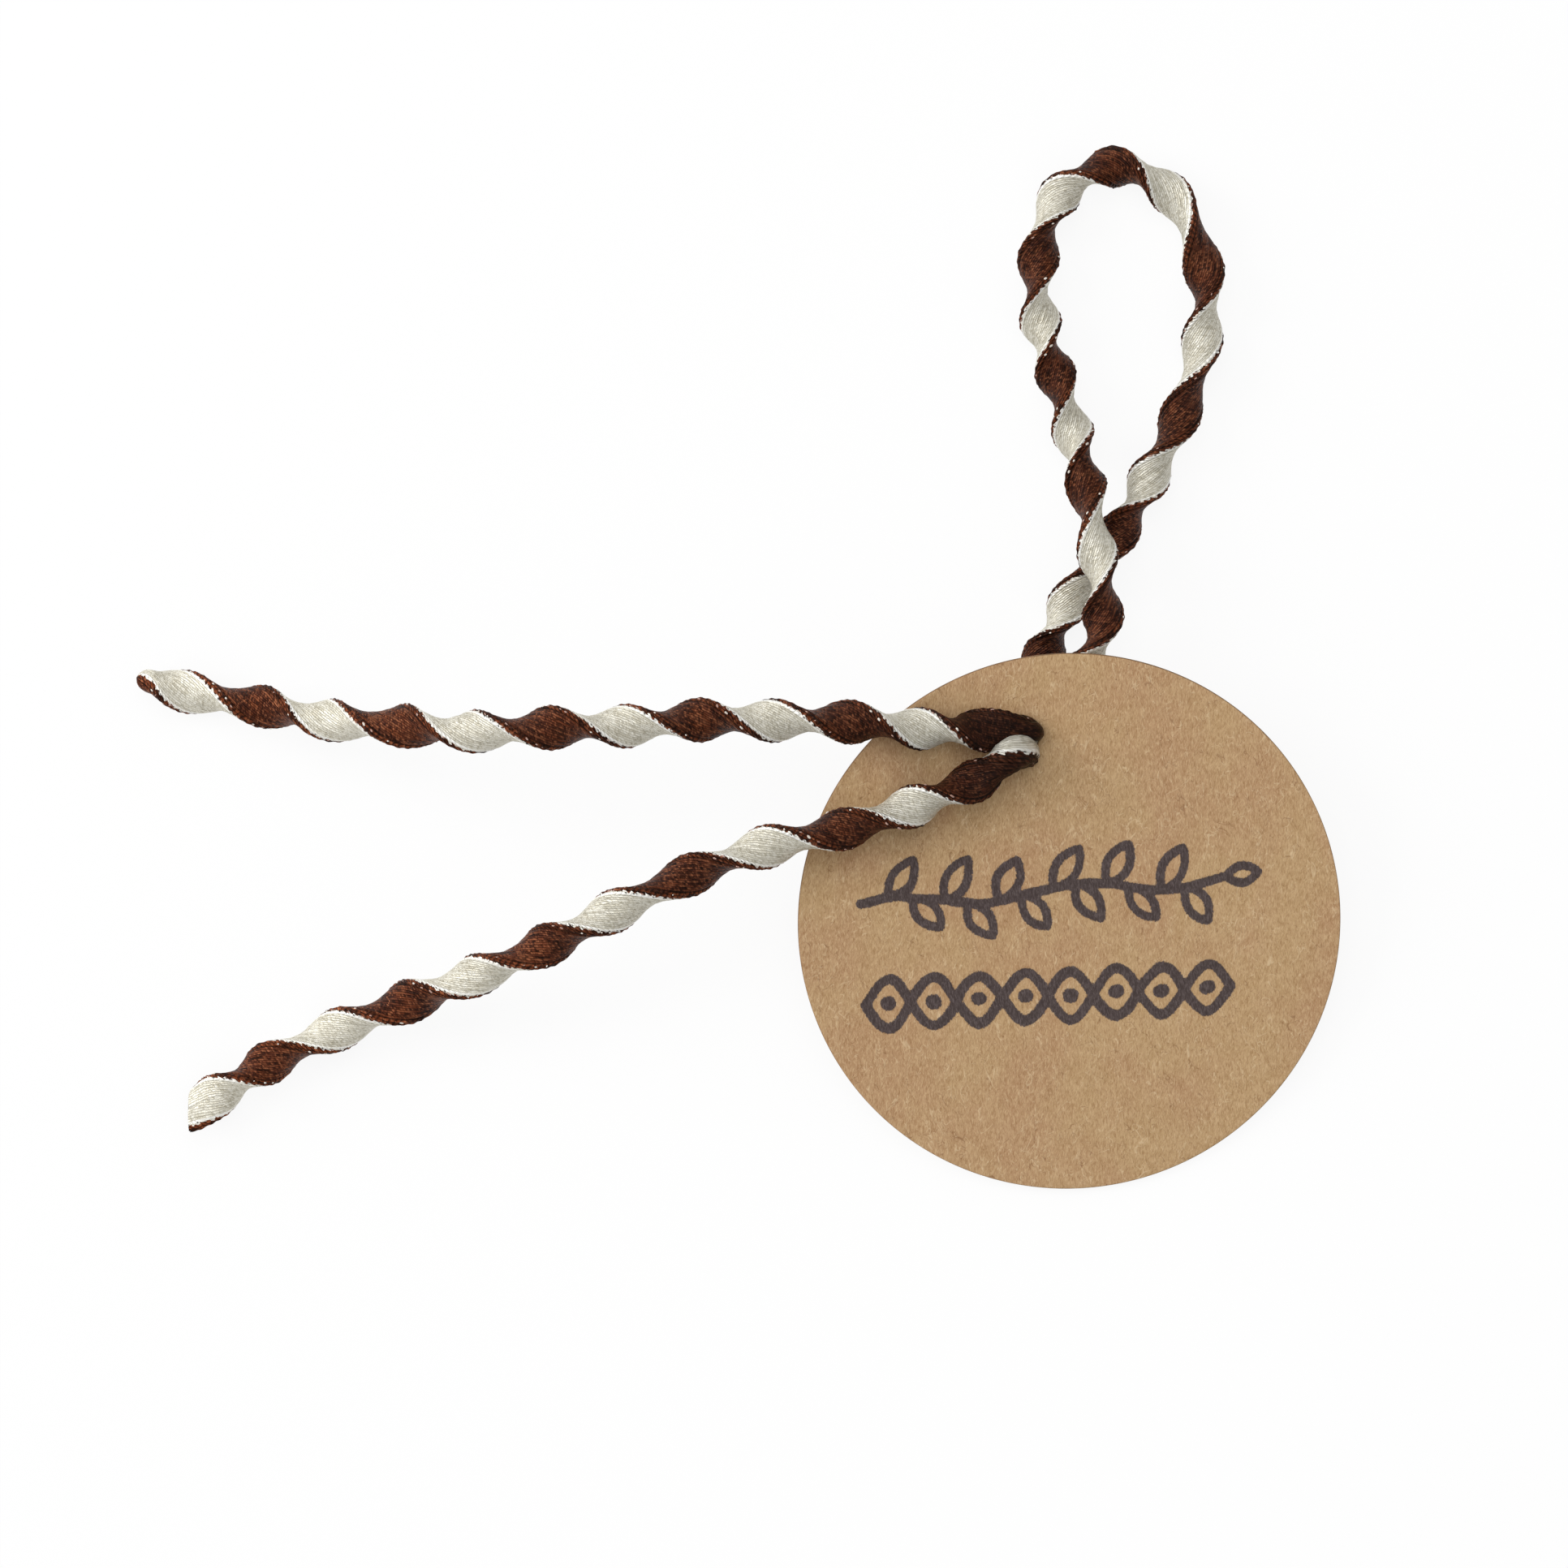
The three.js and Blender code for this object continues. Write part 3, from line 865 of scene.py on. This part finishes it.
def kraft_material():
    n = Nodes("kraft_board")
    bent = n.noise(n.place((9, 9, 9)), 1.0)

    def fibre_place(width, length, turn):
        """A place stretched along slightly swaying fibres."""
        where = n.place((width, length, width), math.radians(turn))
        return n.shifted(where, n.at(n.times(n.minus(bent, 0.5), 5.0), 0.0))

    def hairs(width, length, turn, fine, seed):
        """Thin curved lines, broken into short lengths."""
        where = n.shifted(fibre_place(width, length, turn), (seed, seed * 1.7, 0))
        line = n.scaled(n.math("ABSOLUTE", n.minus(n.noise(where, 1.0, 0.4, 1.2), 0.5)), fine, 0.0)
        kept = n.scaled(n.noise(where, 1.0, scale=0.8), 0.54, 0.6)
        return n.times(line, kept)

    broad = n.noise(n.place((5, 6.5, 5)), 2.0)
    clouds = n.noise(n.place((0.8, 1.3, 1)), 3.0, 0.6, 0.5)
    fuzz = n.noise(fibre_place(0.10, 0.5, 6), 3.0, 0.62, 0.7)
    cross = n.noise(fibre_place(0.085, 0.45, -21), 2.0, 0.6, 0.8)
    grain = n.noise(n.place((0.11, 0.16, 0.11)), 2.0, 0.65)
    speck = n.noise(n.place((0.3, 0.42, 0.3), 0.4), 1.0)
    colour = n.layered(
        n.mix(n.scaled(broad, 0.35, 0.65), KRAFT_RED, KRAFT_YELLOW),
        (clouds, 0.35, 0.68, 0.3, KRAFT_PALE),
        (fuzz, 0.5, 0.68, 0.75, KRAFT_PALE),
        (fuzz, 0.5, 0.32, 0.55, KRAFT_DARK),
        (cross, 0.52, 0.7, 0.5, KRAFT_PALE),
        (cross, 0.48, 0.3, 0.35, KRAFT_DARK),
        (grain, 0.45, 0.25, 0.35, KRAFT_DARK),
    )
    light_hairs = n.math("MAXIMUM", hairs(0.55, 1.9, 8, 0.028, 3.1), hairs(0.7, 1.6, -30, 0.022, 8.4))
    colour = n.mix(n.times(light_hairs, 0.5), colour, KRAFT_HAIR)
    colour = n.mix(n.times(hairs(0.8, 1.5, 24, 0.02, 15.2), 0.45), colour, KRAFT_DEEP)
    colour = n.layered(colour, (speck, 0.76, 0.82, 0.5, KRAFT_DEEP))
    # Ink soaks a little way into the fibres at its outline
    ink = n.attribute("ink")
    ragged = n.times(n.minus(fuzz, 0.5), 0.24)
    ragged = n.plus(ragged, n.times(n.minus(grain, 0.5), 0.22))
    inked = n.scaled(n.plus(ink, ragged), -0.045, 0.045)
    ink_colour = n.mix(n.scaled(fuzz, 0.38, 0.72), INK_DARK, INK_PALE)
    ink_colour = n.layered(ink_colour, (grain, 0.5, 0.7, 0.5, INK_DARK))
    colour = n.mix(n.times(inked, 0.96), colour, ink_colour)
    # The cut edges are darker, with the board's layers showing as fine lines
    edge = n.attribute("edge")
    layers = n.at(n.times(n.attribute("around"), 1 / 1.3), n.times(n.attribute("level"), 5.0))
    layer = n.noise(layers, 3.0, 0.6)
    cut = n.mix(n.scaled(layer, 0.35, 0.65), CUT_DARK, CUT_LIGHT)
    colour = n.mix(n.times(edge, 0.9), colour, cut)
    height = n.plus(n.times(fuzz, 0.6), n.times(grain, 0.3))
    height = n.plus(height, n.times(light_hairs, 0.25))
    normal = n.bump(clouds, 0.1, 0.3, n.bump(height, 0.04, 0.6))
    return n.finished(colour, normal, roughness=0.9, specular=0.2)


ribbon_materials = [
    satin_material(),
    thread_material("pale_thread", *THREAD_PALE),
    thread_material("dull_thread", *THREAD_DULL),
]

# Half widths and half thicknesses along each length: the strands fill the hole, and open out past it.
# PINCH_RIGHT and FREE_END count back from the length's end.
FREE_END = [(0, 1.6, 0.84)]
PINCH_UPPER = [(0, 0.95, 1.8), (0.5, 0.95, 1.65), (1.1, 1.15, 1.15), (2.0, 1.45, 0.92), (3.2, 1.6, 0.84)]
PINCH_LOWER = [
    (0, 1.45, 1.2), (1.0, 1.42, 1.18), (1.75, 1.45, 1.3), (2.5, 1.25, 1.25),
    (3.9, 1.04, 1.1), (4.7, 1.36, 0.98), (5.7, 1.58, 0.88),
]
PINCH_LEFT = [(0, 0.95, 1.8), (0.9, 0.95, 1.4), (2.5, 1.3, 0.95), (4.2, 1.53, 0.79)]
PINCH_RIGHT = [(4.2, 1.53, 0.79), (2.0, 1.45, 0.95), (0.7, 1.45, 1.15), (0, 1.45, 1.2)]

# Painted shade darkens the ribbon's colours most in and near the hole, about half as much over the loop, and
# less and less along the free ends
SHADE_FREE_END = [(0, 1.0), (3, 0.95), (13, 0.5), (24, 0.4), (35, 0.33), (46, 0.18), (57, 0.05)]
SHADE_LOOP = [(0, 1.0), (4, 0.8), (12, 0.5), (40, 0.45)]

upper, upper_line = make_ribbon(
    "upper_free_end",
    upper_route,
    UPPER_LENSES,
    shape=(PINCH_UPPER, FREE_END),
    dull=(SHADE_FREE_END, []),
    starts=card_bearing(UPPER_BROWN),
    seed=11,
    tip=0.62,
    end="round",
)
lower, lower_line = make_ribbon(
    "lower_free_end",
    lower_route,
    LOWER_LENSES,
    shape=(PINCH_LOWER, FREE_END),
    dull=(SHADE_FREE_END, []),
    starts=card_bearing(LOWER_BROWN),
    seed=23,
    before=[(1.75, -0.79), (2.5, -0.58), (4.0, -0.14)],
    tip=0.16,
    end=90,
)
loop, loop_line = make_ribbon(
    "hanging_loop",
    loop_route,
    LOOP_LENSES,
    shape=(PINCH_LEFT, PINCH_RIGHT),
    dull=(SHADE_LOOP, SHADE_LOOP[::-1]),
    starts=card_bearing(UPPER_BROWN),
    seed=37,
    ends=card_bearing(LOWER_BROWN),
)

# Headings of the upper and lower tail at the hole, carried with each tail below but not used
UPPER_EXIT, LOWER_EXIT = 172, 207


for piece, line, nodes, joint, heading, child in (
    (
        upper, upper_line, ("ribbon_neck_upper", "ribbon_tail_upper"),
        "upper_tail_lift", UPPER_EXIT, "upper_tail",
    ),
    (
        lower, lower_line, ("ribbon_neck_lower", "ribbon_tail_lower"),
        "lower_tail_lift", LOWER_EXIT, "lower_tail",
    ),
):
    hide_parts(*nodes)
    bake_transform(piece)

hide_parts("ribbon_rise_left", "ribbon_loop", "ribbon_rise_right")
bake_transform(loop)

# The inked ornament: a leafy sprig above two interlaced waves with dots between them


def wavy(x0, x1, y, rise, swing, period, phase, n=160):
    x = np.linspace(x0, x1, n)
    wave = swing * np.sin(2 * math.pi * (x - x0) / period + phase)
    return np.column_stack([x, y + rise * (x - x0) + wave])


def leaf(base, bearing, length, width, n=18):
    """Both edges of a pointed leaf, as one closed line."""
    t = np.linspace(0, 1, n)
    out = width * np.sin(math.pi * t) ** 0.8
    a = math.radians(bearing)
    ahead, aside = np.array([math.cos(a), math.sin(a)]), np.array([-math.sin(a), math.cos(a)])
    one = base + t[:, None] * length * ahead + out[:, None] * aside
    other = base + t[::-1, None] * length * ahead - out[:, None] * aside
    return np.vstack([one, other])


def ornament_lines():
    """The lines of the ornament in the card's own frame, each with half its width."""
    stem = wavy(-15.4, 11.6, 1.15, 0.075, 0.45, 13.5, 0.4)
    lines = [(stem, 0.36)]
    for k, x in enumerate((-13.2, -9.2, -5.2, -1.2, 2.8, 6.8)):
        i = int(np.argmin(np.abs(stem[:, 0] - x)))
        lines.append((leaf(stem[i], 58 + 4 * (k % 3), 3.3 + 0.15 * (k % 2), 0.78), 0.33))
        i = int(np.argmin(np.abs(stem[:, 0] - x - 1.7)))
        lines.append((leaf(stem[i], -50 - 5 * (k % 2), 3.0, 0.74), 0.33))
    lines.append((leaf(stem[-1], 8, 2.2, 0.6), 0.33))
    left, level, rise, period = -15.0, -6.15, 0.05, 6.72
    for phase in (0.0, math.pi):
        lines.append((wavy(left, 11.9, level, rise, 1.75, period, phase), 0.38))
    for k in range(8):
        x = left + period * (0.25 + 0.5 * k)
        y = level + rise * (x - left)
        lines.append((np.array([[x - 0.08, y], [x + 0.08, y + 0.03]]), 0.52))
    return lines


ORNAMENT = ornament_lines()
INK_REACH = 3.0  # farther than this from a line it doesn't count


def ink_distance(x, y):
    """How deep inside the nearest stroke each point is. It is negative outside."""
    best = np.full(len(x), -INK_REACH)
    grid = noise_grid(71, 48, 48)
    wobble_x = x + 0.10 * noise(grid, x / 1.9 + 20, y / 1.7 + 20)
    wobble_y = y + 0.12 * noise(grid, x / 1.6 + 31, y / 2.1 + 25)
    for line, half in ORNAMENT:
        for (x0, y0), (x1, y1) in zip(line, line[1:]):
            dx, dy = x1 - x0, y1 - y0
            near = np.abs(wobble_x - (x0 + x1) / 2) < INK_REACH
            near &= np.abs(wobble_y - (y0 + y1) / 2) < INK_REACH
            if not near.any():
                continue
            px, py = wobble_x[near] - x0, wobble_y[near] - y0
            t = np.clip((px * dx + py * dy) / max(dx * dx + dy * dy, 1e-9), 0, 1)
            depth = half - np.hypot(px - t * dx, py - t * dy)
            best[near] = np.maximum(best[near], depth)
    return best


# The card: rings that spread from the hole's rim to the card's rim, on both faces and over both cut edges
CARD_SEGMENTS = 420
CARD_RINGS = 190
BACK_RINGS = 24
CORNER = 0.07  # how far both cut edges are rounded


def worn(mesh, points, levels):
    """The hole's upper edge sinks and bulges inward on the side where the ribbon rubs over it."""
    _, flat, reach = from_hole(points)
    sink = 0.3 * smoothstep((2.5 - reach) / 0.55) * ridge(bearing_of(flat), -4, 36) * (levels > 0)
    inward = pressed(flat) * smoothstep((2.3 - reach) / 0.3) / np.maximum(reach, 1)
    moved = points - sink[:, None] * CARD_NORMAL - inward[:, None] * flat
    mesh.vertices.foreach_set("co", (moved * MM).ravel().astype(np.float32))


def make_card():
    hole_y = CARD_RADIUS - HOLE_INSET
    angle = 2 * math.pi * np.arange(CARD_SEGMENTS) / CARD_SEGMENTS
    half = CARD_THICKNESS / 2
    rings = []

    def ring(share, inset, level, edge):
        """share is 0 at the hole and 1 at the rim, and inset draws the ring in from its cut edge."""
        centre = hole_y * (1 - share)
        radius = HOLE_RADIUS + inset + (CARD_RADIUS - HOLE_RADIUS - 2 * inset) * share
        x, y = radius * np.cos(angle), centre + radius * np.sin(angle)
        rings.append((x, y, np.full(CARD_SEGMENTS, level), edge))

    def corner(share, side, turns):
        for a in turns:
            r = math.radians(a)
            ring(share, CORNER * (1 - math.sin(r)), side * (half - CORNER * (1 - math.cos(r))), a / 90)

    face_to_edge, edge_to_face = (30, 60, 90), (90, 60, 30)
    for share in np.linspace(0, 1, CARD_RINGS):
        ring(share, CORNER, half, 0.0)
    corner(1, 1, face_to_edge)
    ring(1, 0, 0, 1.0)
    corner(1, -1, edge_to_face)
    for share in np.linspace(1, 0, BACK_RINGS):
        ring(share, CORNER, -half, 0.0)
    corner(0, -1, face_to_edge)
    ring(0, 0, 0, 1.0)
    corner(0, 1, edge_to_face)
    total = len(rings)
    vertices, edges, levels, arounds = [], [], [], []
    for x, y, z, edge in rings:
        vertices += [tuple(from_card(a, b, c) * MM) for a, b, c in zip(x, y, z)]
        edges += [edge] * CARD_SEGMENTS
        levels += list(z)
        arounds += list(angle * CARD_RADIUS)
    faces = []
    for i in range(total):
        a, b = i * CARD_SEGMENTS, (i + 1) % total * CARD_SEGMENTS
        for j in range(CARD_SEGMENTS):
            k = (j + 1) % CARD_SEGMENTS
            faces.append((a + j, b + j, b + k, a + k))
    mesh = bpy.data.meshes.new("kraft_board")
    mesh.from_pydata(vertices, [], faces)
    points = np.array(vertices) / MM
    worn(mesh, points, np.array(levels))
    ink = np.full(len(points), -INK_REACH)
    face = CARD_RINGS * CARD_SEGMENTS
    ink[:face] = ink_distance(points[:face, 0], points[:face, 1])
    set_attributes(mesh, edge=edges, ink=ink, level=levels, around=arounds)
    mesh.materials.append(kraft_material())
    mesh.polygons.foreach_set("use_smooth", [True] * len(faces))
    mesh.update()
    return add_object("kraft_board", mesh)


card = make_card()
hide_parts("kraft_card")
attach(card, "card")

# The floor is white to the camera and in reflections, with part of its own shading so that it keeps a shadow
FLOOR_SIZE = 1.5
FLOOR_DROP = 0.00002  # just clear of what lies on it
FLOOR_WHITE = 0.9


def add_floor():
    mesh = bpy.data.meshes.new("floor")
    corners = [(-1, -1), (1, -1), (1, 1), (-1, 1)]
    mesh.from_pydata([(FLOOR_SIZE * x, FLOOR_SIZE * y, 0) for x, y in corners], [], [(0, 1, 2, 3)])
    floor = add_object("floor", mesh)
    floor.location = (0, 0, -FLOOR_DROP)
    n = Nodes("floor")
    mesh.materials.append(n.finished((0.9, 0.9, 0.9, 1), None, roughness=0.9, specular=0.0))
    glow = n.new("ShaderNodeEmission")
    glow.inputs["Strength"].default_value = 1.0
    path = n.new("ShaderNodeLightPath")
    both = n.new("ShaderNodeMixShader")
    mirrored = n.math("MAXIMUM", path.outputs["Is Glossy Ray"], path.outputs["Is Transmission Ray"])
    white = n.math("MAXIMUM", path.outputs["Is Camera Ray"], mirrored)
    n.link(n.times(white, FLOOR_WHITE), both.inputs[0])
    n.link(n.shader.outputs[0], both.inputs[1])
    n.link(glow.outputs[0], both.inputs[2])
    n.link(both.outputs[0], n.tree.nodes["Material Output"].inputs["Surface"])


TARGET = (-0.02, 0.01, 0)


def add_light(name, where, size, power):
    """A square lamp that faces the tag."""
    data = bpy.data.lights.new(name, "AREA")
    data.shape = "SQUARE"
    data.size = size
    data.energy = power
    light = add_object(name, data)
    light.location = where
    light.rotation_euler = (Vector(TARGET) - Vector(where)).to_track_quat("-Z", "Y").to_euler()


add_floor()
add_light("key", (-0.14, 0.42, 0.9), 0.7, 2.9)
add_light("side", (-0.75, 0.25, 0.42), 0.5, 4.5)
add_light("fill", (0.4, -0.5, 0.7), 0.6, 0.3)
world = bpy.data.worlds.new("studio")
world.use_nodes = True
background = world.node_tree.nodes["Background"]
background.inputs["Color"].default_value = (1, 1, 1, 1)
background.inputs["Strength"].default_value = 0.56
bpy.context.scene.world = world
bpy.context.scene.view_settings.view_transform = "Standard"
